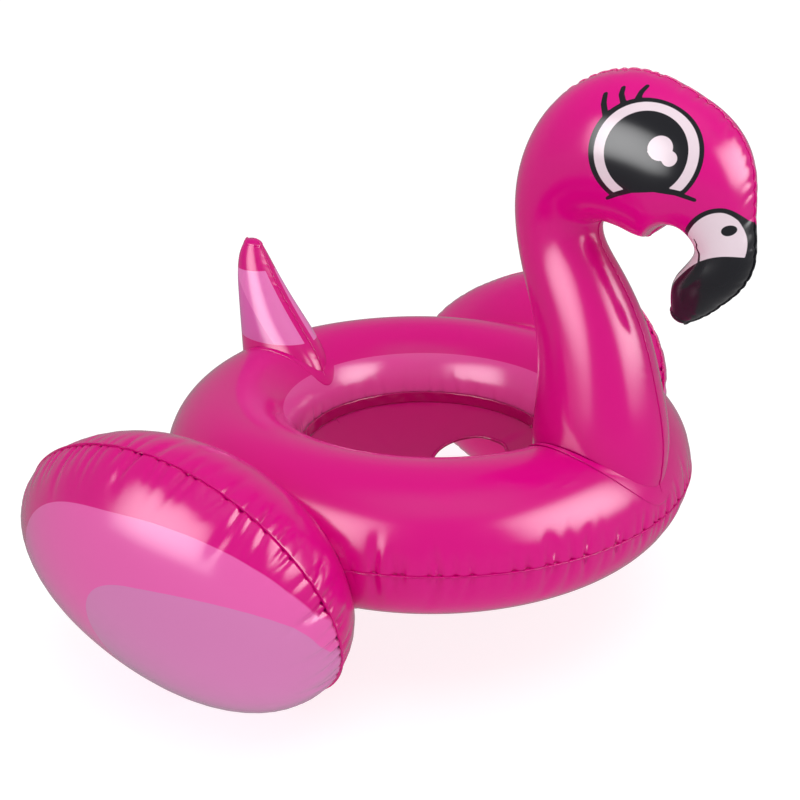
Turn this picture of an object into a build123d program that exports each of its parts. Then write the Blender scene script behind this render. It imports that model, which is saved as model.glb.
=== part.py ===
from build123d import *
import os
from math import cos, radians, sin, sqrt

os.makedirs("parts", exist_ok=True)

# Inflatable flamingo swim ring with a film seat.  Millimetres, +Z up, the flamingo faces -Y.
# Every body is first drawn about the middle of the ring, with z = 0 at the ring's underside.
# At the end all of them move together, so that the floor is z = 0 under the wings and the
# origin is in the middle of the footprint.

# Film and welds
FILM = 0.4              # thickness of the PVC film
SEAM = 3.0              # width of the weld margin that stands out along a seam
FLANGE = 7.0            # width of the weld band round the foot of the neck, tail and wings
BAND = 0.6              # thickness of that band
GAP = 0.3               # air between faces that press on or slide past one another
WELD = 0.1              # air left at a weld line between two curved films
OFFCUT = 20.0           # volume below which a cut leaves only an offcut
STRIP = 2000.0          # volume that no strip of weld margin reaches

# Ring
RING_R = 216.0          # middle of the tube, from the axis of the ring
TUBE = 73.0             # radius of the tube
RING_OUT = RING_R + TUBE
RING_IN = RING_R - TUBE

# Seat: a collar welded to the inner seam, and a sling with two leg holes below it
COLLAR_R = RING_IN - SEAM
COLLAR_LOW = TUBE - 12  # foot of the collar
COLLAR_TOP = TUBE + 2
SLING_DEPTH = 34.0      # from the foot of the collar to the middle of the sling
SLING_BALL = (COLLAR_R**2 + SLING_DEPTH**2) / (2 * SLING_DEPTH)
LEG_R = 0.3 * COLLAR_R
LEG_X = 0.4 * COLLAR_R
LEG_Y = -20.0
HEM_W = 3.0
HEM_T = 0.8

# Wings: egg-shaped cushions that stand on edge
WING_A = 200.0          # half length, front to rear
WING_B = 148.0          # half height
WING_T = 93.0           # half thickness
WING_PRESS = 61.0       # how far the ring presses into the cushion
WING_X = RING_OUT + WING_T - WING_PRESS     # middle of the cushion
WING_Y = 62.0
WING_Z = TUBE - 35
WING_FULL = 0.16        # how much fuller the front half is than the rear half
WING_YAW = 2.0
WING_PITCH = 5.5        # the rear end hangs lower
WING_LEAN = 18.5        # the top leans out

# Neck, head and beak: centre y and z from the middle of the tube under the neck, half depth,
# half width and direction of the centre line, for a tube of radius BODY_TUBE
BODY_TUBE = 73.0
NECK_SIZES = [
    (-1, -11, 58, 54, 90),      # inside the ring
    (2, 62, 68, 63, 95),     # foot of the neck
    (8, 119, 61, 57, 99),
    (20, 169, 54, 50, 108),
    (41, 214, 47, 43, 114),
    (59, 252, 42, 38, 106),    # throat
    (63, 284, 45, 40, 84),     # nape
    (54, 311, 54, 46, 57),
    (30, 335, 65, 53, 31),
    (-5, 347, 74, 57, 3),      # crown
    (-46, 340, 71, 55, -19),
    (-76, 325, 60, 47, -41),    # brow
    (-94, 305, 44, 36, -65),
    (-102, 283, 31, 27, -80),    # root of the beak
    (-104, 267, 29, 25, -95),
    (-100, 249, 32, 26, -110),   # bridge of the beak
    (-91, 232, 32, 24, -120),
    (-80, 215, 25, 17, -123),
    (-72, 203, 8, 6, -123),     # tip
]

# Tail, from inside the ring up to its tip, in the same order of sizes
TAIL_SIZES = [
    (3, -3, 62, 42, 90),
    (6, 57, 61, 40, 86),
    (24, 107, 48, 32, 76),
    (42, 149, 32, 22, 72),
    (50, 175, 20, 14, 76),
    (52, 189, 8, 6, 84),
]

# Valves: a base let into the film, a stem that pulls out, a flap in its foot and a plug
BASE_R = 17.0
BASE_T = 3.0
BASE_PROUD = 0.4        # how far the base stands out of the film
STEM_R = 9.6
BORE_R = 6.5
STEM_LEN = 14.0         # below the film
WELL_R = STEM_R + GAP
WELL_WALL = 1.0
WELL_LEN = 16.0
RIM_R = 12.0
RIM_T = 1.2
PLUG_R = 9.0
PLUG_T = 1.6
HINGE_X = 12.6          # hinge of the plug, just outside the rim
HINGE_W = 5.0
FLAP_R = 6.0
FLAP_T = 0.8
RIM_LOW = BASE_PROUD + GAP
PLUG_LOW = RIM_LOW + RIM_T + GAP
RING_VALVE_TURN = 62.0  # round the ring, from +X
RING_VALVE_RISE = 15.0  # round the tube, from its outermost line
WING_VALVE = 0.74       # along the rear half of the wing, as a share of its half length


def stations(sizes, middle_y):
    """The sizes of a body moved to the tube it stands on, and grown with that tube."""
    grow = TUBE / BODY_TUBE
    rows = []
    for y, z, deep, wide, lean in sizes:
        rows.append((middle_y + y * grow, TUBE + z * grow, deep * grow, wide * grow, lean))
    return rows


NECK = stations(NECK_SIZES, -RING_R)
TAIL = stations(TAIL_SIZES, RING_R)


def at(lean):
    """Unit vector in the median plane, measured up from the way the flamingo faces."""
    return Vector(0, -cos(radians(lean)), sin(radians(lean)))


def tube_ring(grow):
    """The whole tube of the ring as one solid, grown by a clearance."""
    return Pos(0, 0, TUBE) * Torus(RING_R, TUBE + grow)


def seam_disc(radius, half):
    """A flat disc at the height of the ring's seams."""
    return Pos(0, 0, TUBE) * Cylinder(radius, 2 * half)


def left_half():
    """Everything on the flamingo's left of its median plane."""
    return Pos(500, 0, 0) * Box(1000, 2000, 2000)


def largest(shape):
    """The biggest solid of a cut, without the offcuts inside the ring."""
    return max(shape.solids(), key=lambda s: s.volume)


def ring_skins():
    """Upper and lower film of the ring, each with its half of the inner and outer weld margin."""
    film = tube_ring(0) - tube_ring(-FILM)
    margin = seam_disc(RING_OUT + SEAM, FILM) - seam_disc(COLLAR_R, FILM) - tube_ring(0)
    whole = film + margin
    middle = Plane.XY.offset(TUBE)
    return split(whole, middle, keep=Keep.TOP), split(whole, middle, keep=Keep.BOTTOM)


def seat_collar():
    """The short cylinder of film that is welded to the edge of the inner seam."""
    tall = COLLAR_TOP - COLLAR_LOW
    wall = Cylinder(COLLAR_R, tall) - Cylinder(COLLAR_R - FILM, tall)
    return Pos(0, 0, (COLLAR_TOP + COLLAR_LOW) / 2) * wall


def sling_shell(near, far):
    """A spherical dish that hangs from the foot of the collar, between two depths of film."""
    middle = COLLAR_LOW - SLING_DEPTH + SLING_BALL
    shell = Pos(0, 0, middle) * (Sphere(SLING_BALL - near) - Sphere(SLING_BALL - far))
    return shell & Pos(0, 0, COLLAR_LOW - 50) * Cylinder(COLLAR_R, 100)


def leg_cut(side, radius):
    """A cylinder through one leg hole; side is +1 for the flamingo's left."""
    return Pos(side * LEG_X, LEG_Y, COLLAR_LOW - SLING_DEPTH) * Cylinder(radius, 60)


def seat_sling():
    """The sling with its two leg holes."""
    return sling_shell(0, FILM) - leg_cut(1, LEG_R) - leg_cut(-1, LEG_R)


def leg_hem(side):
    """The doubled band welded round one leg hole, on top of the sling."""
    band = sling_shell(FILM + WELD, FILM + WELD + HEM_T)
    return band & (leg_cut(side, LEG_R + HEM_W) - leg_cut(side, LEG_R))


def body(rows, grow):
    """A closed body through elliptical stations on the median plane."""
    faces = []
    for y, z, deep, wide, lean in rows:
        plane = Plane(origin=(0, y, z), x_dir=(1, 0, 0), z_dir=at(lean))
        faces.append(plane * Ellipse(wide + grow, deep + grow))
    return loft(faces)


def margin_plate(rows, half):
    """A plate on the median plane, as deep as a body with its weld margins."""
    faces = []
    for y, z, deep, wide, lean in rows:
        plane = Plane(origin=(0, y, z), x_dir=(1, 0, 0), z_dir=at(lean))
        faces.append(plane * Rectangle(2 * half, 2 * (deep + SEAM)))
    return loft(faces)


def left_panel(rows):
    """Left panel of a two-panel body that stands on the ring."""
    film = (body(rows, 0) & left_half()) - (body(rows, -FILM) & left_half())
    return largest(film - tube_ring(WELD))


def left_margin(rows):
    """The left panel's weld margins, along the front and the back of the body."""
    plate = margin_plate(rows, FILM) & left_half()
    strips = (plate - (body(rows, WELD) & left_half()) - tube_ring(WELD)).solids()
    kept = [s for s in strips if OFFCUT < s.volume < STRIP and s.center().Z > TUBE]
    return Compound(kept)


def weld_band(outer, inner):
    """A band of film on the ring, round the foot of another body."""
    band = (tube_ring(WELD + BAND) - tube_ring(WELD)) & outer
    return band - inner - seam_disc(RING_OUT + SEAM + GAP, FILM + WELD)


def wing_plane():
    """The seam plane of the left wing: x to the rear, y up, z out from the ring."""
    yaw = radians(WING_YAW)
    pitch = radians(WING_PITCH)
    lean = radians(WING_LEAN)
    level = Vector(sin(yaw), cos(yaw), 0)
    away = Vector(cos(yaw), -sin(yaw), 0)
    up = Vector(0, 0, 1)
    rearward = level * cos(pitch) - up * sin(pitch)
    tall = level * sin(pitch) + up * cos(pitch)
    out = away * cos(lean) - tall * sin(lean)
    return Plane(origin=(WING_X, WING_Y, WING_Z), x_dir=rearward, z_dir=out)


def egg_stations(grow):
    """Places along the wing, from its front end to its rear end, with the size of each."""
    for turn in (3, 12, 27, 48, 70, 90, 110, 132, 153, 168, 177):
        along = cos(radians(turn))
        bulge = sin(radians(turn)) * (1 + WING_FULL * along)
        place = Plane(origin=(-(WING_A + grow) * along, 0, 0), x_dir=(0, 0, 1), z_dir=(1, 0, 0))
        yield place, bulge


def egg(grow):
    """The wing cushion in its own frame."""
    faces = []
    for place, bulge in egg_stations(grow):
        faces.append(place * Ellipse((WING_T + grow) * bulge, (WING_B + grow) * bulge))
    return loft(faces)


def egg_margin():
    """The weld margin round a wing cushion, in the cushion's own frame."""
    faces = []
    for place, bulge in egg_stations(SEAM):
        faces.append(place * Rectangle(2 * FILM, 2 * (WING_B + SEAM) * bulge))
    return loft(faces) - egg(WELD)


def wing_skins():
    """Outer and inner film of the left wing; the inner one is dented where the ring presses."""
    plane = wing_plane()
    slab = Box(900, 900, 400)
    outer = plane * ((egg(0) - egg(-FILM)) & Pos(0, 0, 200) * slab)
    near = plane * (egg(0) & Pos(0, 0, -200) * slab)
    core = plane * (egg(-FILM) & Pos(0, 0, -200) * slab)
    dent = tube_ring(GAP) + seam_disc(RING_OUT + SEAM + GAP, FILM + GAP)
    back = tube_ring(GAP + FILM) + seam_disc(RING_OUT + SEAM + GAP + FILM, 2 * FILM + GAP)
    return outer, (near - dent) - (core - back)


def ring_valve_plane():
    """Where the ring's valve sits, on the rear of the tube."""
    turn = radians(RING_VALVE_TURN)
    rise = radians(RING_VALVE_RISE)
    out = Vector(cos(rise) * cos(turn), cos(rise) * sin(turn), sin(rise))
    middle = Vector(RING_R * cos(turn), RING_R * sin(turn), TUBE)
    return Plane(origin=middle + out * TUBE, x_dir=(-sin(turn), cos(turn), 0), z_dir=out)


def neck_valve_plane():
    """Where the neck's valve sits, on the left of the neck."""
    y, z, deep, wide, lean = NECK[2]
    return Plane(origin=(wide, y, z), x_dir=(0, 1, 0), z_dir=(1, 0, 0.14))


def wing_valve_plane():
    """Where the left wing's valve sits, on the inner film behind the ring."""
    share = WING_VALVE
    bulge = sqrt(1 - share**2)
    deep = WING_T * bulge * (1 - WING_FULL * share)
    slope = -WING_T / WING_A * (share / bulge * (1 - WING_FULL * share) + WING_FULL * bulge)
    spot = Plane(origin=(share * WING_A, 0, -deep), x_dir=(0, 1, 0), z_dir=(-slope, 0, -1))
    return Plane(wing_plane().location * spot.location)


def tube(outer, inner, low, high):
    """A short round tube along the axis of a valve."""
    wall = Cylinder(outer, high - low)
    if inner:
        wall -= Cylinder(inner, high - low)
    return Pos(0, 0, (low + high) / 2) * wall


def valve_base():
    """Flange that is welded in the film, with the well that the stem slides in."""
    flange = tube(BASE_R, WELL_R, BASE_PROUD - BASE_T, BASE_PROUD)
    return flange + tube(WELL_R + WELL_WALL, WELL_R, -WELL_LEN, BASE_PROUD - BASE_T)


def valve_stem():
    """Stem with its rim and the two ears of the plug's hinge."""
    stem = tube(STEM_R, BORE_R, -STEM_LEN, RIM_LOW) + tube(RIM_R, BORE_R, RIM_LOW, RIM_LOW + RIM_T)
    ear_h = PLUG_LOW + PLUG_T - RIM_LOW
    for side in (1, -1):
        ear = Box(3.2, 1.2, ear_h)
        stem += Pos(-HINGE_X + 0.2, side * (HINGE_W / 2 + GAP + 0.6), RIM_LOW + ear_h / 2) * ear
    return stem


def valve_plug():
    """Plug with a tapered spigot and a tongue that runs to its hinge."""
    cap = tube(PLUG_R, 0, PLUG_LOW, PLUG_LOW + PLUG_T)
    spigot = Pos(0, 0, PLUG_LOW - 2.3) * Cone(4.4, 6.1, 4.6)
    tongue = Pos(-(HINGE_X + PLUG_R) / 2 + 1, 0, PLUG_LOW + PLUG_T / 2)
    return cap + spigot + tongue * Box(HINGE_X - PLUG_R + 3.6, HINGE_W, PLUG_T)


def valve_flap():
    """Check flap in the foot of the stem."""
    return tube(FLAP_R, 0, -STEM_LEN + 0.4, -STEM_LEN + 0.4 + FLAP_T)


def valve_hole(plane):
    """The round hole that a valve needs in the film."""
    return plane * Cylinder(BASE_R + GAP, 30)


def mirrored(shape):
    """The same shape on the flamingo's right."""
    return mirror(shape, Plane.YZ)


parts = {}
ring_plane = ring_valve_plane()
neck_plane = neck_valve_plane()
wing_spot = wing_valve_plane()

upper, lower = ring_skins()
parts["ring_top_skin"] = upper - valve_hole(ring_plane)
parts["ring_bottom_skin"] = lower - valve_hole(ring_plane)
parts["seat_collar"] = seat_collar()
parts["seat_sling"] = seat_sling()
parts["leg_hem_left"] = leg_hem(1)
parts["leg_hem_right"] = leg_hem(-1)

neck = left_panel(NECK)
neck_margin = left_margin(NECK)
tail = left_panel(TAIL)
tail_margin = left_margin(TAIL)
parts["neck_head_panel_left"] = neck - valve_hole(neck_plane)
parts["neck_head_panel_right"] = mirrored(neck)
parts["neck_head_margin_left"] = neck_margin
parts["neck_head_margin_right"] = mirrored(neck_margin)
parts["tail_panel_left"] = tail
parts["tail_panel_right"] = mirrored(tail)
parts["tail_margin_left"] = tail_margin
parts["tail_margin_right"] = mirrored(tail_margin)

outer_skin, inner_skin = wing_skins()
inner_skin = inner_skin - valve_hole(wing_spot)
parts["wing_left_outer_skin"] = outer_skin
parts["wing_left_inner_skin"] = inner_skin
parts["wing_right_outer_skin"] = mirrored(outer_skin)
parts["wing_right_inner_skin"] = mirrored(inner_skin)
wing_margin = wing_plane() * egg_margin()
parts["wing_left_weld_margin"] = wing_margin
parts["wing_right_weld_margin"] = mirrored(wing_margin)

wing_band = weld_band(wing_plane() * egg(FLANGE), wing_plane() * egg(WELD))
neck_band = weld_band(body(NECK[:4], FLANGE), body(NECK, WELD))
tail_band = weld_band(body(TAIL, FLANGE), body(TAIL, WELD))
parts["neck_weld_band"] = largest(neck_band - margin_plate(NECK, FILM + WELD))
parts["tail_weld_band"] = largest(tail_band - margin_plate(TAIL, FILM + WELD))
parts["wing_left_weld_band"] = wing_band
parts["wing_right_weld_band"] = mirrored(wing_band)

spots = {"ring": ring_plane, "neck": neck_plane, "wing_left": wing_spot}
pieces = {
    "valve_base": valve_base(),
    "valve_stem": valve_stem(),
    "valve_flap": valve_flap(),
    "valve_plug": valve_plug(),
}
for chamber, plane in spots.items():
    for name, piece in pieces.items():
        parts[chamber + "_" + name] = plane * piece
for name in pieces:
    parts["wing_right_" + name] = mirrored(parts["wing_left_" + name])

front = min(shape.bounding_box().min.Y for shape in parts.values())
rear = max(shape.bounding_box().max.Y for shape in parts.values())
foot = min(shape.bounding_box().min.Z for shape in parts.values())
to_floor = Pos(0, -(front + rear) / 2, -foot)

for name, shape in parts.items():
    export_step(to_floor * shape, "parts/" + name + ".step")

print("moved by", to_floor.position)
for chamber, plane in spots.items():
    moved = to_floor * plane.location
    print(chamber, "valve at", moved.position, "axis", Plane(moved).z_dir, "x", Plane(moved).x_dir)
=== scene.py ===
import math

import bpy
import numpy as np
from mathutils import Matrix, Vector


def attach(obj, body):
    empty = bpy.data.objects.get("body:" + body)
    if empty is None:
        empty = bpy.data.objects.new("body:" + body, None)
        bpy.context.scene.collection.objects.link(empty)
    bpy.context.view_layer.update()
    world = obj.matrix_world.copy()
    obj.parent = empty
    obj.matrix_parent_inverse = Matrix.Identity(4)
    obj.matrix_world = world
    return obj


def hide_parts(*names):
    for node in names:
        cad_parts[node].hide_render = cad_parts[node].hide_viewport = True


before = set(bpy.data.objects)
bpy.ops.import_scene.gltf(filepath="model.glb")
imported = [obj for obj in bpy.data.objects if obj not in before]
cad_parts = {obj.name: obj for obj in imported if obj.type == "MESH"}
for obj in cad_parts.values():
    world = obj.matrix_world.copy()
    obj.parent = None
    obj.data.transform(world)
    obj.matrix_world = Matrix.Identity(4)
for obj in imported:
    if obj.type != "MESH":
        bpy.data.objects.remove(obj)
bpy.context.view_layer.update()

# ---- Stage ---------------------------------------------------------------------------------
# A pale paper floor that bends up into a wall, and a large soft light overhead.  Two wide soft
# boxes show only as the highlights on the film, and what else the film mirrors is a mild grey.
ROOM_LIGHT = 0.62
ROOM_SEEN_MORE = 0.45       # the room is brighter to the camera
ROOM_MIRRORED_LESS = -0.40  # and darker in the film
FLOOR_GLOW = 0.80
FLOOR_MIRRORED = 0.28
bpy.context.scene.view_settings.view_transform = "Standard"
world = bpy.data.worlds.new("studio")
bpy.context.scene.world = world
world.use_nodes = True
sky = world.node_tree
room = sky.nodes["Background"]
room.inputs["Color"].default_value = (1.0, 1.0, 1.0, 1.0)
ray = sky.nodes.new("ShaderNodeLightPath")
seen = sky.nodes.new("ShaderNodeMath")
seen.operation = "MULTIPLY_ADD"
seen.inputs[1].default_value = ROOM_SEEN_MORE
seen.inputs[2].default_value = ROOM_LIGHT
sky.links.new(ray.outputs["Is Camera Ray"], seen.inputs[0])
gloss_dim = sky.nodes.new("ShaderNodeMath")
gloss_dim.operation = "MULTIPLY_ADD"
gloss_dim.inputs[1].default_value = ROOM_MIRRORED_LESS
sky.links.new(ray.outputs["Is Glossy Ray"], gloss_dim.inputs[0])
sky.links.new(seen.outputs["Value"], gloss_dim.inputs[2])
sky.links.new(gloss_dim.outputs["Value"], room.inputs["Strength"])


def sweep():
    """Paper: z = 0 up to 1.6 m behind the object, then z = 0.55 (d - 1.6)^2 at distance d."""
    near = np.linspace(-6.0, 4.0, 60)
    rise = np.where(near > 1.6, (near - 1.6) ** 2 * 0.55, 0.0)
    side = np.linspace(-7.0, 7.0, 40)
    along, across = np.meshgrid(near, side, indexing="ij")
    turn = math.radians(-53.0)      # the wall stands square to the camera
    x = along * -math.sin(turn) + across * math.cos(turn)
    y = along * math.cos(turn) + across * math.sin(turn)
    z = np.repeat(rise[:, None], len(side), 1)
    verts = np.stack([x, y, z], -1).reshape(-1, 3)
    corner = np.arange(z.size).reshape(z.shape)
    quads = np.stack([corner[:-1, :-1], corner[1:, :-1], corner[1:, 1:], corner[:-1, 1:]], -1)
    quads = quads.reshape(-1, 4)
    mesh = bpy.data.meshes.new("sweep")
    mesh.from_pydata(verts.tolist(), [], quads.tolist())
    mesh.polygons.foreach_set("use_smooth", np.ones(len(quads), bool))
    made = bpy.data.objects.new("studio_sweep", mesh)
    bpy.context.collection.objects.link(made)
    paper = bpy.data.materials.new("studio_paper")
    paper.use_nodes = True
    tree = paper.node_tree
    shader = tree.nodes["Principled BSDF"]
    shader.inputs["Base Color"].default_value = (0.34, 0.34, 0.34, 1.0)
    shader.inputs["Roughness"].default_value = 0.9
    shader.inputs["Specular IOR Level"].default_value = 0.1
    shader.inputs["Emission Color"].default_value = (1.0, 1.0, 1.0, 1.0)
    shader.inputs["Emission Strength"].default_value = FLOOR_GLOW
    mirrored = tree.nodes.new("ShaderNodeEmission")
    mirrored.inputs["Strength"].default_value = FLOOR_MIRRORED
    path = tree.nodes.new("ShaderNodeLightPath")
    mix = tree.nodes.new("ShaderNodeMixShader")
    tree.links.new(path.outputs["Is Glossy Ray"], mix.inputs["Fac"])
    tree.links.new(shader.outputs["BSDF"], mix.inputs[1])
    tree.links.new(mirrored.outputs["Emission"], mix.inputs[2])
    tree.links.new(mix.outputs["Shader"], tree.nodes["Material Output"].inputs["Surface"])
    mesh.materials.append(paper)


sweep()


def feather(data):
    """Dim a soft box towards its rims: (1 - |2 u - 1|^3) (1 - |2 v - 1|^3) over its face."""
    data.use_nodes = True
    tree = data.node_tree
    place = tree.nodes.new("ShaderNodeNewGeometry")
    split = tree.nodes.new("ShaderNodeSeparateXYZ")
    tree.links.new(place.outputs["Parametric"], split.inputs["Vector"])
    parts = []
    for axis in ("X", "Y"):
        last = split.outputs[axis]
        for operation, value in (("SUBTRACT", 0.5), ("MULTIPLY", 2.0),
                                 ("ABSOLUTE", 0.0), ("POWER", 3.0)):
            step = tree.nodes.new("ShaderNodeMath")
            step.operation = operation
            step.inputs[1].default_value = value
            tree.links.new(last, step.inputs[0])
            last = step.outputs["Value"]
        rest = tree.nodes.new("ShaderNodeMath")
        rest.operation = "SUBTRACT"
        rest.use_clamp = True
        rest.inputs[0].default_value = 1.0
        tree.links.new(last, rest.inputs[1])
        parts.append(rest)
    both = tree.nodes.new("ShaderNodeMath")
    both.operation = "MULTIPLY"
    tree.links.new(parts[0].outputs["Value"], both.inputs[0])
    tree.links.new(parts[1].outputs["Value"], both.inputs[1])
    tree.links.new(both.outputs["Value"], tree.nodes["Emission"].inputs["Strength"])


def soft_light(name, place, aim, width, height, power, shape_only=False, glow_only=False):
    """A rectangular soft box at a place, turned to shine at a point.

    glow_only boxes light the film but aren't mirrored in it; shape_only ones are only mirrored.
    """
    data = bpy.data.lights.new(name, "AREA")
    data.shape = "RECTANGLE"
    data.size = width
    data.size_y = height
    data.energy = power
    lamp = bpy.data.objects.new(name, data)
    lamp.location = place
    lamp.rotation_mode = "QUATERNION"
    lamp.rotation_quaternion = (Vector(aim) - Vector(place)).to_track_quat("-Z", "Y")
    lamp.visible_glossy = not glow_only
    if shape_only:
        feather(data)
    lamp.visible_diffuse = not shape_only
    bpy.context.collection.objects.link(lamp)


soft_light("top_glow", (-0.45, -0.55, 2.0), (0.0, 0.0, 0.2), 1.6, 1.2, 17.0, glow_only=True)
soft_light("left_box", (-1.94, 0.35, 1.02), (0.0, 0.0, 0.25), 2.3, 1.9, 128.0, shape_only=True)
soft_light("right_box", (0.36, -2.05, 1.22), (0.0, 0.0, 0.30), 2.5, 1.7, 138.0, shape_only=True)

# The camera stands off the flamingo's right, a little above the head, with a short lens.
turn = 0.9253
ring_centre = Vector((0.0, 0.0305, 0.1048))
lens_at = Vector((0.0, -1.0817, 0.5693))
yaw, pitch = -0.0284, 0.3925
ahead = Vector((math.sin(yaw) * math.cos(pitch), math.cos(yaw) * math.cos(pitch), -math.sin(pitch)))
around = Matrix.Rotation(-turn, 3, "Z")
camera_data = bpy.data.cameras.new("camera")
camera_data.sensor_width = 36.0
camera_data.lens = 47.2
camera_data.clip_start = 0.05
camera = bpy.data.objects.new("camera", camera_data)
camera.location = around @ lens_at + ring_centre
camera.rotation_mode = "QUATERNION"
camera.rotation_quaternion = (around @ ahead).to_track_quat("-Z", "Y")
bpy.context.collection.objects.link(camera)
bpy.context.scene.camera = camera

# ---- Ring ----------------------------------------------------------------------------------
# The tube the child sits in: two half tubes of thin glossy PVC film, welded along the outermost
# and the innermost line.  Short creases run from the welds, and a paler band is printed round
# the inner slope.  Lengths are millimetres; the skin is a closed shell over a grid of points.
RING_R = 216.0
TUBE = 73.0
MIDDLE = np.array([0.0, 30.4647, 104.781 + 73.0])
FILM_THICK = 0.4
INNER_EVERY = 6         # the hidden inner side of a skin has one column for six outer ones
LIP_UNDER, LIP_OUT = 1.0, 1.6   # how far the weld margin lies under the skin and past the seam
OUTER_PITCH = 15.5      # of the creases along the outer seam
OUTER_SEED, INNER_SEED, RING_WAVES = 11, 12, 21
BAND_FROM = 2.45        # angle round the tube where the paler band starts
UNPRINTED = -9.0        # a print's field where there is no ink
fine = 1.0


def steps(count):
    return max(8, int(round(count * fine)))


def unit(v):
    """Vectors at unit length."""
    return v / np.maximum(np.linalg.norm(v, axis=-1, keepdims=True), 1e-9)


def puckers(along, away, length, seed, pitch=15.0, depth=1.3, reach=28.0, closed=True):
    """Depth in mm of the short creases that run from a welded seam.

    Crease k sits near s = (k + 0.5 + jitter) * pitch on the seam.  At distance d from the seam
    its depth is a_k * (1 - d / r_k)^1.4 * exp(-((s - s_k + c_k * d) / w)^2), with
    w = 0.17 * pitch + 0.10 * d, and random a_k, r_k and slant c_k.  The film between creases
    swells by 0.25 * depth * exp(-d / 9).
    """
    rng = np.random.default_rng(seed)
    count = max(3, int(round(length / pitch)))
    pitch = length / count
    jitter = rng.uniform(-0.33, 0.33, count)
    amp = rng.uniform(0.25, 1.0, count) ** 1.2
    far = reach * rng.uniform(0.35, 1.0, count) ** 0.9
    slant = rng.normal(0.0, 0.14, count)
    place = along / pitch
    base = np.floor(place).astype(int)
    dip = np.zeros(np.broadcast(along, away).shape)
    for shift in (-1, 0, 1):
        k = base + shift
        i = k % count
        off = (place - (k + 0.5 + jitter[i])) * pitch + slant[i] * away
        fade = np.clip(1.0 - away / far[i], 0.0, 1.0) ** 1.4
        width = 0.17 * pitch + 0.10 * away
        inside = 1.0 if closed else ((k >= 0) & (k < count)).astype(float)
        dip = dip + amp[i] * fade * np.exp(-((off / width) ** 2)) * inside
    swell = 0.25 * np.exp(-away / 9.0)
    return depth * (swell - dip)


def slow_waves(grid, seed, size, depth):
    """Slow unevenness of a blown-up film: a sum of nine plane waves, depth * mean of sines."""
    rng = np.random.default_rng(seed)
    total = np.zeros(grid.shape[:-1])
    for _ in range(9):
        way = unit(rng.normal(size=3)) / (size * rng.uniform(0.7, 1.6))
        total += np.sin(2 * math.pi * (grid @ way) + rng.uniform(0, 6.28))
    return depth * total / 3.0


def ring_half(side):
    """Half of the tube: P = C + (R + r cos t)(cos f, sin f, 0) + side * r sin t (0, 0, 1).

    f runs round the ring and t from the outer seam (0) to the inner seam (pi).  The radius r is
    the tube's, plus puckers from both seams and slow waves.
    """
    f = np.linspace(0.0, 2 * math.pi, steps(1000) + 1)[:, None]
    t = np.linspace(0.0, math.pi, steps(74) + 1)[None, :]
    t = t - 0.10 * np.sin(2 * t)
    outside = puckers(f * (RING_R + TUBE), t * TUBE, 2 * math.pi * (RING_R + TUBE), OUTER_SEED,
                      pitch=OUTER_PITCH, depth=4.2, reach=58.0 - 6.0 * side)
    inside = puckers(f * (RING_R - TUBE), (math.pi - t) * TUBE, 2 * math.pi * (RING_R - TUBE),
                     INNER_SEED, pitch=17.0, depth=1.5, reach=42.0)
    round_ring = np.stack(np.broadcast_arrays(np.cos(f) * (RING_R + TUBE * np.cos(t)),
                                              np.sin(f) * (RING_R + TUBE * np.cos(t)),
                                              side * TUBE * np.sin(t)), -1)
    waves = slow_waves(round_ring, RING_WAVES, 240.0, 0.9) * np.sin(t)
    waves[-1] = waves[0]
    tall = TUBE + outside + inside + waves
    grid = np.stack(np.broadcast_arrays(np.cos(f) * (RING_R + tall * np.cos(t)),
                                        np.sin(f) * (RING_R + tall * np.cos(t)),
                                        side * tall * np.sin(t)), -1)
    grid[-1] = grid[0]
    band = np.broadcast_to((t - BAND_FROM) * TUBE, grid.shape[:2]).copy()
    return grid + MIDDLE, band


def ring_margin(side, low, high):
    """Flat weld margin between two radii, its free rim lifted by the seam's own puckers."""
    f = np.linspace(0.0, 2 * math.pi, steps(1000) + 1)[:, None]
    r = np.linspace(low, high, 4)[None, :]
    far = np.abs(r - low) / 3.0
    wave = puckers(f * low, 0.0 * r, 2 * math.pi * low, OUTER_SEED,
                   pitch=OUTER_PITCH, depth=0.7, reach=30.0)
    lift = side * 0.2 + wave * far * 0.8
    grid = np.stack(np.broadcast_arrays(np.cos(f) * r, np.sin(f) * r, lift), -1)
    grid[-1] = grid[0]
    return grid + MIDDLE


def grid_normals(grid):
    """Normals of a grid of points: the cross product of its two directions, i then j.

    A line of the grid that has shrunk to a pole takes the mean of the line beside it.
    """
    di = np.gradient(grid, axis=0)
    dj = np.gradient(grid, axis=1)
    normals = unit(np.cross(di, dj))
    for line, beside in ((np.s_[0], np.s_[1]), (np.s_[-1], np.s_[-2]),
                         (np.s_[:, 0], np.s_[:, 1]), (np.s_[:, -1], np.s_[:, -2])):
        if np.linalg.norm(np.ptp(grid[line], axis=0)) < 0.01:
            normals[line] = unit(normals[beside].mean(axis=0))
    return normals


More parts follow.
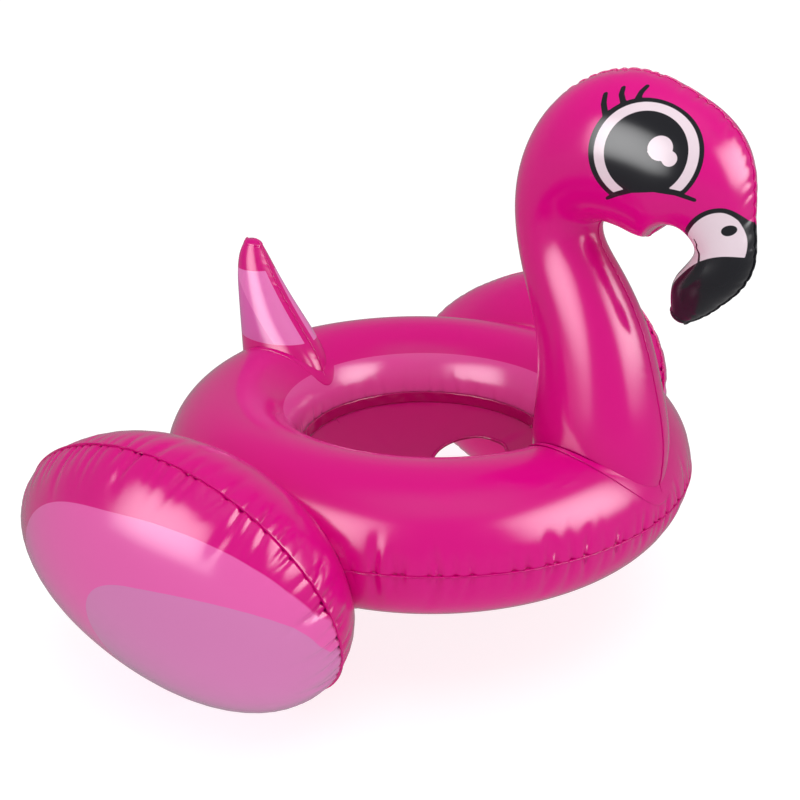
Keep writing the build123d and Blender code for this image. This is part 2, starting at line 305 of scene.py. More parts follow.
def shell_parts(outer, normals, thick):
    """Corner points and quads of a closed thin shell over one grid of outer points.

    Inner point = outer point - thick * normal, on every few columns.  The four rims get a wall;
    on the first and last row the wall is a fan, one corner of its quads taken twice.
    """
    rows, cols = outer.shape[:2]
    keep = np.unique(np.append(np.arange(0, cols - 1, INNER_EVERY), cols - 1))
    inner = (outer - normals * thick)[:, keep]
    points = np.concatenate([outer.reshape(-1, 3), inner.reshape(-1, 3)])
    out = np.arange(rows * cols).reshape(rows, cols)
    inn = rows * cols + np.arange(rows * len(keep)).reshape(rows, len(keep))
    below = np.searchsorted(keep, np.arange(cols - 1), side="right") - 1

    def quads(a, b, c, d):
        return np.stack([a.ravel(), b.ravel(), c.ravel(), d.ravel()], -1)

    faces = [
        quads(out[:-1, :-1], out[1:, :-1], out[1:, 1:], out[:-1, 1:]),
        quads(inn[:-1, :-1], inn[:-1, 1:], inn[1:, 1:], inn[1:, :-1]),
        quads(out[:-1, 0], inn[:-1, 0], inn[1:, 0], out[1:, 0]),
        quads(out[:-1, -1], out[1:, -1], inn[1:, -1], inn[:-1, -1]),
    ]
    fan = inn[:, below]
    corner = out[:, keep[1:]]
    ends = [
        quads(out[0, :-1], out[0, 1:], fan[0], fan[0]),
        quads(corner[0], inn[0, 1:], inn[0, :-1], inn[0, :-1]),
        quads(out[-1, 1:], out[-1, :-1], fan[-1], fan[-1]),
        quads(inn[-1, 1:], corner[-1], inn[-1, :-1], inn[-1, :-1]),
    ]
    return points, np.concatenate(faces), np.concatenate(ends), keep


def film(name, node, layers, material, thick=FILM_THICK):
    """A skin made of one or more grids, in mm; equal corners are joined, so loops and poles close.

    Each layer is (grid, fields, flip, closed): fields maps an attribute name to its values on
    the grid, and closed says that the first and last rows are one and the same.  A wall that two
    layers share is left out, and each quad is cut into two triangles, of which the flat ones go.
    """
    points, faces, fields, start = [], [], {}, 0
    for grid, values, flip, closed in layers:
        if flip < 0:
            grid = grid[::-1]
            values = {k: v[::-1] for k, v in values.items()}
        normals = grid_normals(grid)
        if closed:
            wrap = unit(normals[0] + normals[-1])
            normals[0] = wrap
            normals[-1] = wrap
        normals[..., 0] *= np.abs(grid[..., 0]) > 1e-6
        pts, quads, ends, keep = shell_parts(grid, unit(normals), thick)
        faces.append(quads + start)
        if not closed:
            faces.append(ends + start)
        points.append(pts)
        for key, value in values.items():
            both = np.concatenate([value.ravel(), value[:, keep].ravel()])
            fields.setdefault(key, []).append(both)
        start += len(pts)
    points = np.concatenate(points)
    _, first, where = np.unique(np.round(points, 3), axis=0,
                                return_index=True, return_inverse=True)
    faces = where.ravel()[np.concatenate(faces)]
    _, same, times = np.unique(np.sort(faces, axis=1), axis=0,
                               return_inverse=True, return_counts=True)
    faces = faces[times[same.ravel()] == 1]
    tris = np.concatenate([faces[:, :3], faces[:, [0, 2, 3]]])
    flat = (tris[:, 0] == tris[:, 1]) | (tris[:, 1] == tris[:, 2]) | (tris[:, 2] == tris[:, 0])
    mesh = bpy.data.meshes.new(name)
    mesh.from_pydata((points[first] * 0.001).tolist(), [], tris[~flat].tolist())
    mesh.validate()
    mesh.polygons.foreach_set("use_smooth", np.ones(len(mesh.polygons), bool))
    for key, value in fields.items():
        attribute = mesh.attributes.new(key, "FLOAT", "POINT")
        attribute.data.foreach_set("value", np.concatenate(value)[first].astype(np.float32))
    made = bpy.data.objects.new(name, mesh)
    bpy.context.collection.objects.link(made)
    mesh.materials.append(material)
    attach(made, "float")
    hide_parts(node)
    return made


def fine_bump_group():
    """Node group: the slight orange-peel and drawn lines of calendered film, as a normal."""
    group = bpy.data.node_groups.new("film_surface", "ShaderNodeTree")
    group.interface.new_socket("Amount", in_out="INPUT", socket_type="NodeSocketFloat")
    group.interface.new_socket("Normal", in_out="OUTPUT", socket_type="NodeSocketVector")
    group.interface.new_socket("Roughness", in_out="OUTPUT", socket_type="NodeSocketFloat")
    nodes, links = group.nodes, group.links
    entry = nodes.new("NodeGroupInput")
    leave = nodes.new("NodeGroupOutput")
    coords = nodes.new("ShaderNodeTexCoord")
    slow = nodes.new("ShaderNodeTexNoise")
    slow.inputs["Scale"].default_value = 14.0
    slow.inputs["Detail"].default_value = 2.0
    links.new(coords.outputs["Object"], slow.inputs["Vector"])
    grain = nodes.new("ShaderNodeTexNoise")
    grain.inputs["Scale"].default_value = 420.0
    grain.inputs["Detail"].default_value = 1.0
    links.new(coords.outputs["Object"], grain.inputs["Vector"])
    first = nodes.new("ShaderNodeBump")
    first.inputs["Distance"].default_value = 0.004
    links.new(entry.outputs["Amount"], first.inputs["Strength"])
    links.new(slow.outputs["Fac"], first.inputs["Height"])
    second = nodes.new("ShaderNodeBump")
    second.inputs["Strength"].default_value = 0.05
    second.inputs["Distance"].default_value = 0.0004
    links.new(grain.outputs["Fac"], second.inputs["Height"])
    links.new(first.outputs["Normal"], second.inputs["Normal"])
    links.new(second.outputs["Normal"], leave.inputs["Normal"])
    spread = nodes.new("ShaderNodeMapRange")
    spread.inputs["From Min"].default_value = 0.3
    spread.inputs["From Max"].default_value = 0.7
    spread.inputs["To Min"].default_value = 0.17
    spread.inputs["To Max"].default_value = 0.27
    links.new(slow.outputs["Fac"], spread.inputs["Value"])
    links.new(spread.outputs["Result"], leave.inputs["Roughness"])
    return group


film_surface = fine_bump_group()
MAGENTA = (0.700, 0.0001, 0.225, 1.0)
BAND_PINK = (0.80, 0.075, 0.36, 1.0)


def film_material(name, base=MAGENTA, prints=()):
    """Glossy PVC film.  Each print is (attribute, colour): ink lies where the field is above 0."""
    made = bpy.data.materials.new(name)
    made.use_nodes = True
    nodes, links = made.node_tree.nodes, made.node_tree.links
    shader = nodes["Principled BSDF"]
    surface = nodes.new("ShaderNodeGroup")
    surface.node_tree = film_surface
    surface.inputs["Amount"].default_value = 0.22
    links.new(surface.outputs["Normal"], shader.inputs["Normal"])
    links.new(surface.outputs["Roughness"], shader.inputs["Roughness"])
    colour = None
    for field, ink in prints:
        source = nodes.new("ShaderNodeAttribute")
        source.attribute_name = field
        edge = nodes.new("ShaderNodeMapRange")
        edge.interpolation_type = "SMOOTHSTEP"
        edge.inputs["From Min"].default_value = -0.22
        edge.inputs["From Max"].default_value = 0.22
        links.new(source.outputs["Fac"], edge.inputs["Value"])
        mix = nodes.new("ShaderNodeMix")
        mix.data_type = "RGBA"
        mix.inputs["A"].default_value = base
        mix.inputs["B"].default_value = ink
        links.new(edge.outputs["Result"], mix.inputs["Factor"])
        if colour is not None:
            links.new(colour, mix.inputs["A"])
        colour = mix.outputs["Result"]
    shader.inputs["Base Color"].default_value = base
    if colour is not None:
        links.new(colour, shader.inputs["Base Color"])
    shader.inputs["Specular IOR Level"].default_value = 0.06
    shader.inputs["Coat Weight"].default_value = 1.0
    shader.inputs["Coat IOR"].default_value = 1.42
    shader.inputs["Coat Roughness"].default_value = 0.17
    return made


ring_film = film_material("ring_film", prints=(("band", BAND_PINK),))
under_film = film_material("ring_under_film")
top_grid, band = ring_half(1.0)
low_grid, low_band = ring_half(-1.0)
outer_lip = ring_margin(1.0, RING_R + TUBE - LIP_UNDER, RING_R + TUBE + LIP_OUT)
outer_lip_low = ring_margin(-1.0, RING_R + TUBE - LIP_UNDER, RING_R + TUBE + LIP_OUT)
bare = {"band": np.full(outer_lip.shape[:2], UNPRINTED)}
film("ring_top_look", "ring_top_skin",
     [(top_grid, {"band": band}, 1, True), (outer_lip, bare, -1, True)], ring_film)
film("ring_bottom_look", "ring_bottom_skin",
     [(low_grid, {"band": low_band * 0 + UNPRINTED}, -1, True), (outer_lip_low, bare, 1, True)],
     under_film)

# ---- Seat ----------------------------------------------------------------------------------
# A collar welded to the inner seam carries a shallow sling with two leg holes.  It is the same
# film, its colour darkened to a deeper red as painted shade for the hollow inside the ring, and
# each hole has a doubled hem welded round it.
COLLAR_R = 140.0
HOLE_R, HOLE_X, HOLE_Y = 42.0, 56.0, -20.0
SAG, DROP = 34.0, 12.0  # of the sling's middle under its rim, and of the rim under the seam
# The seat's deeper red is painted shade: it darkens the film of the sling, collar and hems, which
# lie in the hollow inside the ring.
SEAT_SHADE_RED = (0.47, 0.0006, 0.13, 1.0)


def sling_height(x, y):
    """Height of the sling under a point: a ball-shaped sag with soft folds, in mm from the seam.

    z = -drop - sag + B - sqrt(B^2 - r^2) + folds, with B = (R^2 + sag^2) / (2 sag).
    """
    ball = (COLLAR_R**2 + SAG**2) / (2 * SAG)
    r2 = np.minimum(x**2 + y**2, COLLAR_R**2)
    turn_to = np.arctan2(y, x)
    folds = 1.1 * np.sin(9 * turn_to + 0.6) + 0.7 * np.sin(17 * turn_to + 2.0 + r2 * 1e-4)
    near_rim = (r2 / COLLAR_R**2) ** 2 * (1 - r2 / COLLAR_R**2) * 4.0
    return -DROP - SAG + ball - np.sqrt(ball**2 - r2) + folds * near_rim


def sling_grid(side):
    """One side of the sling: rays from the hem of a leg hole out to the rim and the middle line.

    P(a, q) = hole(a) + q * (edge(a) - hole(a)), where edge is where the ray from the middle of the
    hole at angle a leaves the half disc x * side > 0.
    """
    a = np.linspace(0.0, 2 * math.pi, steps(300) + 1)
    way = np.stack([np.cos(a), np.sin(a)], -1)
    heart = np.array([side * HOLE_X, HOLE_Y])
    b = way @ heart
    rim = -b + np.sqrt(b**2 - heart @ heart + (COLLAR_R - 0.4) ** 2)
    run = np.where(way[:, 0] == 0, 1e-9, way[:, 0])
    to_line = np.where(way[:, 0] * side < -1e-6, -heart[0] / run, 1e9)
    edge = np.minimum(rim, to_line)
    q = np.linspace(0.0, 1.0, steps(60) + 1)
    reach = HOLE_R + q[None, :] * (edge[:, None] - HOLE_R)
    x = heart[0] + way[:, 0:1] * reach
    y = heart[1] + way[:, 1:2] * reach
    x = np.where(np.abs(x) < 0.02, 0.0, x)
    grid = np.stack([x, y, sling_height(x, y)], -1)
    grid[-1] = grid[0]
    return grid + MIDDLE


# The seat film's darker base colour is painted shade.
seat_film = film_material("seat_film_look", base=SEAT_SHADE_RED)
film("seat_sling_look", "seat_sling",
     [(sling_grid(1.0), {}, -1, True), (sling_grid(-1.0), {}, -1, True)], seat_film)


def collar_grid():
    """The collar: a short cylinder that ripples a little between the welds."""
    f = np.linspace(0.0, 2 * math.pi, steps(420) + 1)[:, None]
    z = np.linspace(2.0, -DROP, 9)[None, :]
    r = COLLAR_R - 0.2 + 0.5 * np.sin(31 * f) * np.sin((z + DROP) / (DROP + 2.0) * math.pi)
    grid = np.stack(np.broadcast_arrays(r * np.cos(f), r * np.sin(f), z), -1)
    grid[-1] = grid[0]
    return grid + MIDDLE


film("seat_collar_look", "seat_collar", [(collar_grid(), {}, 1, True)], seat_film)

HEM_WIDE, HEM_THICK = 3.2, 0.9
for side, word in ((1.0, "left"), (-1.0, "right")):
    a = np.linspace(0.0, 2 * math.pi, steps(260) + 1)[:, None]
    wide = np.linspace(HOLE_R, HOLE_R + HEM_WIDE, 6)[None, :]
    x = side * HOLE_X + wide * np.cos(a)
    y = HOLE_Y + wide * np.sin(a)
    hem = np.stack([x, y, sling_height(x, y) + 1.1 + 0.15 * np.sin(40 * a)], -1)
    hem[-1] = hem[0]
    film("leg_hem_%s_look" % word, "leg_hem_%s" % word,
         [(hem + MIDDLE, {}, 1, True)], seat_film, thick=HEM_THICK)

# ---- Neck, head and beak -------------------------------------------------------------------
# One body of two film panels, round in section, whose middle line rises from the ring, bends
# over the head and comes down the beak.  The panels are welded along the back and the front,
# and the foot is welded to the ring.  The eye and the beak are printed on both panels.

# Each row is a station of the middle line: y, z, half depth, half width and lean in degrees.
NECK = np.array([
    (-217, 62, 58, 54, 90), (-214, 135, 68, 63, 95), (-208, 192, 61, 57, 99),
    (-196, 242, 54, 50, 108), (-175, 287, 47, 43, 114), (-157, 325, 42, 38, 106),
    (-154, 357, 44, 40, 84), (-164, 384, 53, 46, 57), (-187, 408, 64, 53, 31),
    (-221, 419, 68, 57, 3), (-259.3, 408.1, 65, 55, -19), (-286, 390.7, 58, 47, -41),
    (-302.6, 376.4, 39.5, 35, -65), (-315, 356, 28, 27, -80), (-319, 340, 26, 25, -95),
    (-314, 323, 25, 25, -110), (-303, 309, 23, 22, -120), (-292, 295, 20, 16, -123),
    (-284, 279, 10, 8, -123)], float)
NECK_SEED, NECK_WAVES = 31, 33
NECK_PITCH, NECK_DEPTH, NECK_REACH = 11.0, 1.5, 24.0    # of the creases along its seams
TIP = 6.5       # length of the rounded end of a body
SIT = 0.25      # gap between a body's foot and the ring


def smooth_through(knots, values, at):
    """Natural cubic spline through values at knots, worked out at other places."""
    n = len(knots)
    h = np.diff(knots)
    lhs = np.eye(n)
    rhs = np.zeros((n,) + values.shape[1:])
    for i in range(1, n - 1):
        lhs[i, i - 1:i + 2] = h[i - 1], 2 * (h[i - 1] + h[i]), h[i]
        rhs[i] = 6 * ((values[i + 1] - values[i]) / h[i] - (values[i] - values[i - 1]) / h[i - 1])
    bend = np.linalg.solve(lhs, rhs)
    k = np.clip(np.searchsorted(knots, at) - 1, 0, n - 2)
    hk = h[k][:, None]
    left = (at - knots[k])[:, None]
    right = (knots[k + 1] - at)[:, None]
    curve = (bend[k] * right**3 + bend[k + 1] * left**3) / (6 * hk)
    from_left = (values[k] / hk - bend[k] * hk / 6) * right
    from_right = (values[k + 1] / hk - bend[k + 1] * hk / 6) * left
    return curve + from_left + from_right


def tube_points(stations, t, angle):
    """Points of a two-panel body about the ring's middle, its underside at z = 0.

    P = C(t) + p(t) cos(a) across(t) + q(t) sin(a) X, where a = 0 is the back or outer seam and
    pi the front or inner one, and the tip closes like the end of an ellipse.
    """
    steps_between = np.linalg.norm(np.diff(stations[:, :2], axis=0), axis=1)
    knots = np.concatenate([[0.0], np.cumsum(steps_between)])
    end = knots[-1]
    sizes = smooth_through(knots, stations, np.minimum(t.ravel(), end))
    sizes = sizes.reshape(t.shape + (5,))
    y, z, deep, wide, lean = np.moveaxis(sizes, -1, 0)
    past = np.clip((t - end) / TIP, 0.0, 1.0)
    lean = np.radians(lean)
    y = y - np.cos(lean) * past * TIP
    z = z + np.sin(lean) * past * TIP
    close = np.sqrt(np.maximum(1.0 - past**2, 0.0))
    deep = deep * close
    wide = wide * close
    across_y, across_z = np.sin(lean), np.cos(lean)
    return np.stack([wide * np.sin(angle),
                     y + deep * np.cos(angle) * across_y,
                     z + deep * np.cos(angle) * across_z], -1)


def panel_grid(stations, rows, cols):
    """One panel, x > 0, from its foot on the ring to its tip.

    On each line of equal angle, the foot is the last t whose point is still inside the tube.
    """
    steps_between = np.linalg.norm(np.diff(stations[:, :2], axis=0), axis=1)
    end = float(steps_between.sum()) + TIP
    angle = np.linspace(0.0, math.pi, cols + 1)
    look = np.linspace(0.0, end, 700)
    probe = tube_points(stations, np.repeat(look[:, None], cols + 1, 1), angle[None, :])
    from_tube = np.hypot(np.hypot(probe[..., 0], probe[..., 1]) - RING_R, probe[..., 2] - TUBE)
    inside = from_tube < TUBE + SIT
    last = len(look) - 1 - np.argmax(inside[::-1], axis=0)
    a = from_tube[last, np.arange(cols + 1)] - TUBE - SIT
    b = from_tube[last + 1, np.arange(cols + 1)] - TUBE - SIT
    foot = look[last] + (look[1] - look[0]) * (-a) / np.maximum(b - a, 1e-6)
    share = np.linspace(0.0, 1.0, rows + 1)[:, None]
    share = share - 0.035 * np.sin(2 * math.pi * share)
    t = foot[None, :] + share * (end - foot[None, :])
    return tube_points(stations, t, np.broadcast_to(angle[None, :], t.shape)), t


def ellipse_field(y, z, centre, radii, lean=0.0):
    """Roughly the distance inside an ellipse, in mm; negative outside."""
    c, s = math.cos(math.radians(lean)), math.sin(math.radians(lean))
    u = ((y - centre[0]) * c + (z - centre[1]) * s) / radii[0]
    v = (-(y - centre[0]) * s + (z - centre[1]) * c) / radii[1]
    return (1.0 - np.hypot(u, v)) * min(radii)


def stroke_field(y, z, points, widths):
    """Distance inside a stroke that runs through points with a width at each, in mm."""
    best = np.full(y.shape, -99.0)
    for (ay, az), (by, bz), wa, wb in zip(points[:-1], points[1:], widths[:-1], widths[1:]):
        length = (by - ay) ** 2 + (bz - az) ** 2
        h = np.clip(((y - ay) * (by - ay) + (z - az) * (bz - az)) / length, 0.0, 1.0)
        gap = np.hypot(y - ay - h * (by - ay), z - az - h * (bz - az))
        best = np.maximum(best, (wa + (wb - wa) * h) / 2 - gap)
    return best


EYE_MIDDLE = np.array([54.2, -263.7, 427.9])
EYE_REARWARD = np.array([0.158, 0.987, 0.0])
EYE_UPWARD = np.array([-0.133, 0.021, 0.991])


def eye_plane(grid):
    """Place of each point in the eye's own plane, in mm: rearward and up from its middle.

    The direction is taken in the plane that touches the head there, and the distance is the
    straight one, so that a round print stays round on the swollen film.
    """
    off = grid - EYE_MIDDLE
    x, y = off @ EYE_REARWARD, off @ EYE_UPWARD
    stretch = np.linalg.norm(off, axis=-1) / np.maximum(np.hypot(x, y), 1e-6)
    return x * stretch, y * stretch


def eye_inks(grid):
    """Black and white of the eye: a cut-off oval with a white ring, a lid, lashes and a glint."""
    x, y = eye_plane(grid)
    lid = y + 30.0 + 0.0055 * (x + 12.0) ** 2
    rim = ellipse_field(x, y, (4.0, -1.0), (49.5, 47.6))
    pale = ellipse_field(x, y, (3.2, -1.0), (44.8, 43.6))
    iris = ellipse_field(x, y, (2.6, -1.0), (35.6, 35.6))
    lid_line = [(-42.0, -36.5), (-26.0, -31.5), (-8.0, -30.2),
                (12.0, -33.2), (25.0, -37.6), (36.0, -43.5)]
    black = np.minimum(rim, lid)
    black = np.maximum(black, stroke_field(x, y, lid_line, [3.4, 4.4, 4.4, 4.4, 4.8, 3.0]))
    for lash, widths in (([(43.0, 29.0), (47.0, 37.0), (48.8, 45.5)], (5.6, 5.4, 4.6)),
                         ([(29.5, 39.0), (34.0, 46.5), (35.0, 53.0)], (5.2, 5.0, 4.2)),
                         ([(18.5, 44.0), (17.8, 51.0), (15.5, 58.0)], (5.2, 4.8, 4.0))):
        black = np.maximum(black, stroke_field(x, y, lash, widths))
    glint = np.maximum(10.4 - np.hypot(x + 9.8, y - 4.0), 6.4 - np.hypot(x + 18.4, y + 4.0))
    white = np.maximum(np.minimum(np.minimum(pale, -iris), lid - 2.2), glint)
    return black, white


BEAK_FROM = 470.0       # along the middle line, past the brow


def beak_inks(grid, along):
    """Black and white of the beak, as distances in mm in the side view.

    The white patch lies under an arched black line and over the arched edge of the black tip.
    """
    y, z = grid[..., 1], grid[..., 2]
    bend = np.where(y > -322.0, 0.024, 0.038)
    slope = 2 * bend * (y + 322.0)
    under_arch = (385.0 - bend * (y + 322.0) ** 2 - z) / np.sqrt(1 + slope**2)
    over_tip = z - 344.2 + 0.0125 * (y + 332.0) ** 2
    front = y + 341.5 - 0.012 * (z - 349.0) ** 2
    white = np.minimum(np.minimum(under_arch - 4.0, over_tip), front)
    white = np.minimum(white, -ellipse_field(y, z, (-328.6, 366.0), (5.6, 4.4), -20.0))
    smile = [(-299.0, 354.5), (-301.5, 350.0), (-300.3, 346.5), (-304.2, 342.0), (-304.8, 335.0)]
    white = np.minimum(white, -stroke_field(y, z, smile, [1.2, 1.8, 2.0, 2.4, 2.6]))
    beak = along > BEAK_FROM
    return np.where(beak, under_arch, UNPRINTED), np.where(beak, white, UNPRINTED)


def neck_inks(grid, along):
    """Black and white inks of the eye and the beak together."""
    eye_black, eye_white = eye_inks(grid)
    beak_black, beak_white = beak_inks(grid, along)
    return np.maximum(eye_black, beak_black), np.maximum(eye_white, beak_white)


INK_BLACK = (0.012, 0.012, 0.016, 1.0)
INK_WHITE = (0.80, 0.66, 0.73, 1.0)
head_film = film_material("head_film", prints=(("black", INK_BLACK), ("white", INK_WHITE)))
neck_grid, neck_t = panel_grid(NECK, steps(560), steps(130))


def eased_throat(grid, along):
    """Film eased over the inner bend of the throat, where the middle line turns sharply.

    There each point moves towards the mean of its neighbours along the body, fully on the
    front seam 400 mm along and not at all half-way round or 130 mm further on.
    """
    half = max(3, round(len(grid) * 0.05))
    padded = np.pad(grid, ((half, half), (0, 0), (0, 0)), mode="edge")
    total = np.cumsum(np.concatenate([np.zeros((1,) + grid.shape[1:]), padded]), axis=0)
    mean = (total[2 * half + 1:] - total[:-2 * half - 1]) / (2 * half + 1)
    round_share = np.linspace(0.0, 1.0, grid.shape[1])[None, :, None]
    weight = np.clip((round_share - 0.5) / 0.4, 0.0, 1.0) ** 2
    return grid + (mean - grid) * weight * np.exp(-(((along - 400.0) / 70.0) ** 4))[..., None]


neck_grid = eased_throat(neck_grid, neck_t)
neck_lift = MIDDLE - np.array([0.0, 0.0, TUBE])


def travelled(grid, axis):
    """Arc length along one direction of a grid, from its first row or column, in mm."""
    gaps = np.linalg.norm(np.diff(grid, axis=axis), axis=-1)
    total = np.cumsum(gaps, axis=axis)
    zero = np.zeros_like(np.take(total, [0], axis=axis))
    return np.concatenate([zero, total], axis=axis)


def panel_relief(grid, seed, pitch, depth, reach, back_gain, front_gain):
    """Puckers along the two seams of a panel, as a displacement along its normal."""
    back = travelled(grid[:, :1], 0)[:, :1]
    front = travelled(grid[:, -1:], 0)[:, :1]
    across = travelled(grid, 1)
    wide = across[:, -1:]
    out = puckers(back, across, float(back.max()), seed, pitch, depth, reach, False) * back_gain
    inn = puckers(front, wide - across, float(front.max()), seed + 1, pitch, depth, reach, False)
    return out + inn * front_gain


def chamber_panels(name, grid, relief, inks, material, node):
    """Left panel and its mirror image: each point moves along its normal by the relief.

    Seam points stay in the median plane, and the last row closes to one point.
    """
    normals = grid_normals(grid)
    outward = float(np.sign(normals[..., 0].sum()))
    moved = grid + normals * relief[..., None] * outward
    moved[:, 0, 0] = 0.0
    moved[:, -1, 0] = 0.0
    moved[-1] = moved[-1].mean(axis=0)
    moved[-1, :, 0] = 0.0
    moved[..., 0] = np.maximum(moved[..., 0], 0.0)
    left = moved + neck_lift
    right = left * np.array([-1.0, 1.0, 1.0])
    film(name + "_left_look", node + "_left", [(left, inks, outward, False)], material)
    film(name + "_right_look", node + "_right", [(right, inks, -outward, False)], material)
    return left


MARGIN_THICK = 0.45
FIN_SHORT = 3           # rows by which a margin stops short of the tip


def weld_fins(name, grid, along, node, material):
    """The weld margins that stand along both seams of a panel and its mirror image.

    From each seam point E the fin runs from E - 0.8 n to E + h n, where n lies in the median
    plane, at right angles to the seam and away from the panel, and h is the margin's height.
    """
    for word, column, inner, height in (("back", 0, 5, 1.3), ("front", -1, -6, 0.9)):
        edge = grid[:, column] * np.array([0.0, 1.0, 1.0])
        way = (edge - grid[:, inner]) * np.array([0.0, 1.0, 1.0])
        ahead = np.gradient(edge, axis=0)
        share = np.sum(way * ahead, -1) / np.maximum(np.sum(ahead**2, -1), 1e-9)
        flat = way - ahead * share[:, None]
        kernel = np.ones(9) / 9.0
        padded = np.pad(flat, ((4, 4), (0, 0)), mode="edge")
        flat = np.stack([np.convolve(padded[:, k], kernel, "valid") for k in range(3)], -1)
        stand = np.array([-0.8, 0.4 * height, height])[None, :, None]
        fin = edge[:, None, :] + unit(flat)[:, None, :] * stand + np.array([MARGIN_THICK, 0.0, 0.0])
        fin = fin[:-FIN_SHORT]
        turn_out = float(np.sign(grid_normals(fin)[..., 0].mean()))
        place = along[:-FIN_SHORT, column][:, None] + 0.0 * fin[..., 0]
        black, _ = beak_inks(fin - neck_lift, place)
        for side, mirror in (("left", 1.0), ("right", -1.0)):
            film("%s_%s_%s_fin" % (name, word, side), node + "_" + side,
                 [(fin * np.array([mirror, 1.0, 1.0]), {"black": black}, turn_out * mirror, False)],
                 material, thick=MARGIN_THICK)


# The creases are deepest over the crown of the head and where the neck's front meets the ring.
share = neck_t / neck_t.max()
crown = 0.35 + 1.3 * np.exp(-((share - 0.68) / 0.17) ** 2)
throat = 0.25 + 0.9 * np.exp(-((share - 0.02) / 0.06) ** 2)
neck_relief = panel_relief(neck_grid, NECK_SEED, NECK_PITCH, NECK_DEPTH, NECK_REACH,
                           crown, throat * 0.5)
neck_relief = neck_relief + slow_waves(neck_grid, NECK_WAVES, 150.0, 0.5)
black, white = neck_inks(neck_grid, neck_t)
neck_left = chamber_panels("neck_head_panel", neck_grid, neck_relief,
                           {"black": black, "white": white}, head_film, "neck_head_panel")

fin_film = film_material("fin_film", prints=(("black", INK_BLACK),))
weld_fins("neck", neck_left, neck_t, "neck_head_margin", fin_film)

# ---- Tail ----------------------------------------------------------------------------------
# A curved cone of two film panels behind the seat, welded along its back and front and round
# its foot.  A paler patch is printed on each side.
TAIL = np.array([
    (219, 70, 62, 42, 90), (222, 130, 61, 40, 86), (240, 180, 48, 32, 76),
    (258, 222, 32, 22, 72), (265, 246, 20, 15, 76), (267, 258, 13, 10, 82)], float)
TAIL_SEED = 41
tail_grid, tail_t = panel_grid(TAIL, steps(200), steps(80))
tail_relief = panel_relief(tail_grid, TAIL_SEED, 12.0, 0.7, 16.0, 0.6, 0.6)
tail_across = travelled(tail_grid, 1)
from_front_seam = tail_across[:, -1:] - tail_across
y, z = tail_grid[..., 1], tail_grid[..., 2]
tail_pale = np.minimum(np.minimum(from_front_seam - 9.0, 230.0 - z), z - 151.0)
tail_deep = np.minimum(tail_pale, (y - 262.0) * 0.696 - (z - 206.0) * 0.718)
TAIL_PALE = (0.86, 0.20, 0.55, 1.0)
TAIL_DEEP = (0.74, 0.13, 0.46, 1.0)
tail_film = film_material("tail_film", prints=(("pale", TAIL_PALE), ("deep", TAIL_DEEP)))
tail_left = chamber_panels("tail_panel", tail_grid, tail_relief,
                           {"pale": tail_pale, "deep": tail_deep}, tail_film, "tail_panel")
weld_fins("tail", tail_left, tail_t, "tail_margin", fin_film)

# ---- Wings ---------------------------------------------------------------------------------
# Egg-shaped cushions of film that stand on edge against the ring.  An outer and an inner film
# are welded round their widest outline, and the outer one is printed in three tones of pink.
WING_A, WING_B, WING_T, WING_FULL = 200.0, 148.0, 93.0, 0.16
WING_POLE = -14.0       # where the grid's pole lies along the wing
WING_SEEDS = {1.0: 51, -1.0: 52}
WING_WAVES = 53
WING_GAP = 0.4          # kept to the ring and to the floor
wing_yaw, wing_pitch, wing_lean = math.radians(2.0), math.radians(5.5), math.radians(18.5)
level = np.array([math.sin(wing_yaw), math.cos(wing_yaw), 0.0])
away_from = np.array([math.cos(wing_yaw), -math.sin(wing_yaw), 0.0])
up = np.array([0.0, 0.0, 1.0])
rearward = level * math.cos(wing_pitch) - up * math.sin(wing_pitch)
tallward = level * math.sin(wing_pitch) + up * math.cos(wing_pitch)
outward = away_from * math.cos(wing_lean) - tallward * math.sin(wing_lean)
upward = np.cross(outward, rearward)
wing_centre = np.array([321.0, 62.0, 38.0])


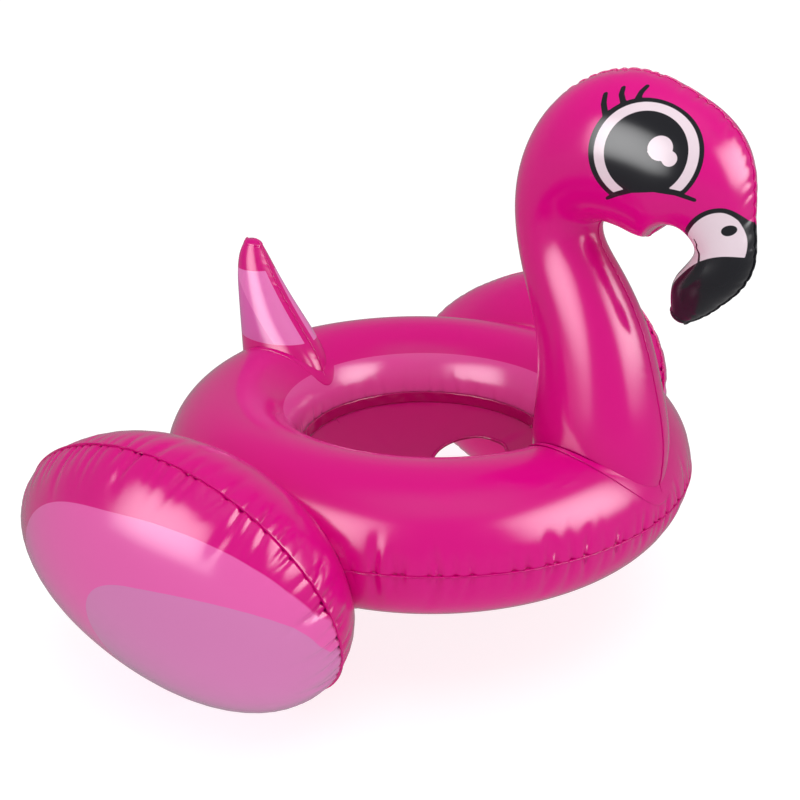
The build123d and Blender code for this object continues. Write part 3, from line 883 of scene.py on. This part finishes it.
def wing_half(side):
    """One film of the left wing, from its middle (q = 0) to the seam (q = 1).

    The seam is u = -A cos s, v = B sin s (1 + F cos s).  Inside it the film stands off the seam
    plane by w = (T / B) sqrt(h(u)^2 - v^2), with h(u) = B sqrt(1 - (u/A)^2) (1 - F u/A).
    """
    s = np.linspace(0.0, 2 * math.pi, steps(640) + 1)[:, None]
    q = np.sin(np.linspace(0.0, math.pi / 2, steps(110) + 1))[None, :]
    u_edge = -WING_A * np.cos(s)
    v_edge = WING_B * np.sin(s) * (1 + WING_FULL * np.cos(s))
    u = WING_POLE + q * (u_edge - WING_POLE)
    v = q * v_edge
    tall = WING_B * np.sqrt(np.maximum(1 - (u / WING_A) ** 2, 0)) * (1 - WING_FULL * u / WING_A)
    w = WING_T / WING_B * np.sqrt(np.maximum(tall**2 - v**2, 0.0))
    w = np.where(q > 0.99999, 0.0, w)
    flat = np.stack([u, v, side * w], -1)
    flat[-1] = flat[0]
    edge = travelled(flat[:, -1:], 0)[:, :1]
    across = travelled(flat, 1)
    away = across[:, -1:] - across
    relief = puckers(edge, away, float(edge.max()), WING_SEEDS[side],
                     pitch=15.0, depth=3.6, reach=72.0)
    relief = relief + slow_waves(flat, WING_WAVES, 170.0, 0.9) * (1 - np.exp(-away / 20.0))
    relief[-1] = relief[0]
    normals = grid_normals(flat)
    normals = normals * np.where(np.sum(normals * flat, -1, keepdims=True) < 0, -1.0, 1.0)
    normals[:, 0] = np.array([0.0, 0.0, side])
    moved = flat + normals * relief[..., None]
    moved[:, 0] = moved[:1, 0]
    moved[:, -1, 2] = 0.0
    moved[-1] = moved[0]
    place = wing_centre + moved @ np.stack([rearward, upward, outward])
    if side < 0:
        flat_out = np.stack([place[..., 0], place[..., 1], np.zeros_like(place[..., 0])], -1)
        core = unit(flat_out) * RING_R + np.array([0.0, 0.0, TUBE])
        off = place - core
        gap = np.linalg.norm(off, axis=-1, keepdims=True)
        pressed = core + off / np.maximum(gap, 1e-6) * (TUBE + WING_GAP)
        place = np.where(gap < TUBE + WING_GAP, pressed, place)
    place[..., 2] = np.maximum(place[..., 2], WING_GAP - neck_lift[2])
    return place + neck_lift, flat


def bulged(u, v, middle, rear, front, over, under):
    """Roughly the distance inside a rounded patch with four unlike radii, in mm.

    Inside is |x|^2.3 + |y|^2.3 < 1, with x and y measured in the radius on their own side.
    """
    x = (u - middle[0]) / np.where(u > middle[0], rear, front)
    y = (v - middle[1]) / np.where(v > middle[1], over, under)
    return (1.0 - (np.abs(x) ** 2.3 + np.abs(y) ** 2.3) ** (1 / 2.3)) * 100.0


def feather_fields(flat):
    """Distance inside the middle tone and inside the palest tone of the outer film, in mm."""
    u, v = flat[..., 0], flat[..., 1]
    mid = bulged(u, v, (-40.0, -20.0), rear=176.0, front=161.0, over=146.0, under=400.0)
    pale = bulged(u, v, (-70.0, -15.0), rear=86.0, front=126.0, over=88.0, under=150.0)
    return mid, pale


MID_PINK = (0.84, 0.12, 0.44, 1.0)
PALE_MAUVE = (0.70, 0.21, 0.49, 1.0)
wing_outer_film = film_material("wing_outer_film", prints=(("mid", MID_PINK), ("pale", PALE_MAUVE)))
wing_inner_film = film_material("wing_inner_film")
outer_place, outer_flat = wing_half(1.0)
inner_place, inner_flat = wing_half(-1.0)
mid, pale = feather_fields(outer_flat)
for word, way in (("left", 1.0), ("right", -1.0)):
    mirror = np.array([way, 1.0, 1.0])
    film("wing_%s_outer_look" % word, "wing_%s_outer_skin" % word,
         [(outer_place * mirror, {"mid": mid, "pale": pale}, -way, True)], wing_outer_film)
    film("wing_%s_inner_look" % word, "wing_%s_inner_skin" % word,
         [(inner_place * mirror, {}, way, True)], wing_inner_film)

# ---- Valves --------------------------------------------------------------------------------
# Four moulded valves of clear, slightly milky PVC, each with a base let into the film, a stem,
# a flap and a plug.  They, the weld bands and the wings' margins are the CAD pieces.
clear = bpy.data.materials.new("clear_valve")
clear.use_nodes = True
inputs = clear.node_tree.nodes["Principled BSDF"].inputs
inputs["Base Color"].default_value = (0.86, 0.86, 0.88, 1.0)
inputs["Roughness"].default_value = 0.25
inputs["Subsurface Weight"].default_value = 0.3
inputs["Subsurface Radius"].default_value = (0.004, 0.004, 0.004)

margin_film = film_material("margin_film")
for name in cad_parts:
    thing = bpy.data.objects.get(name)
    if thing is None:
        continue
    if "_valve_" in name or "margin" in name or "weld_band" in name:
        for slot in thing.material_slots:
            slot.material = clear if "_valve_" in name else margin_film
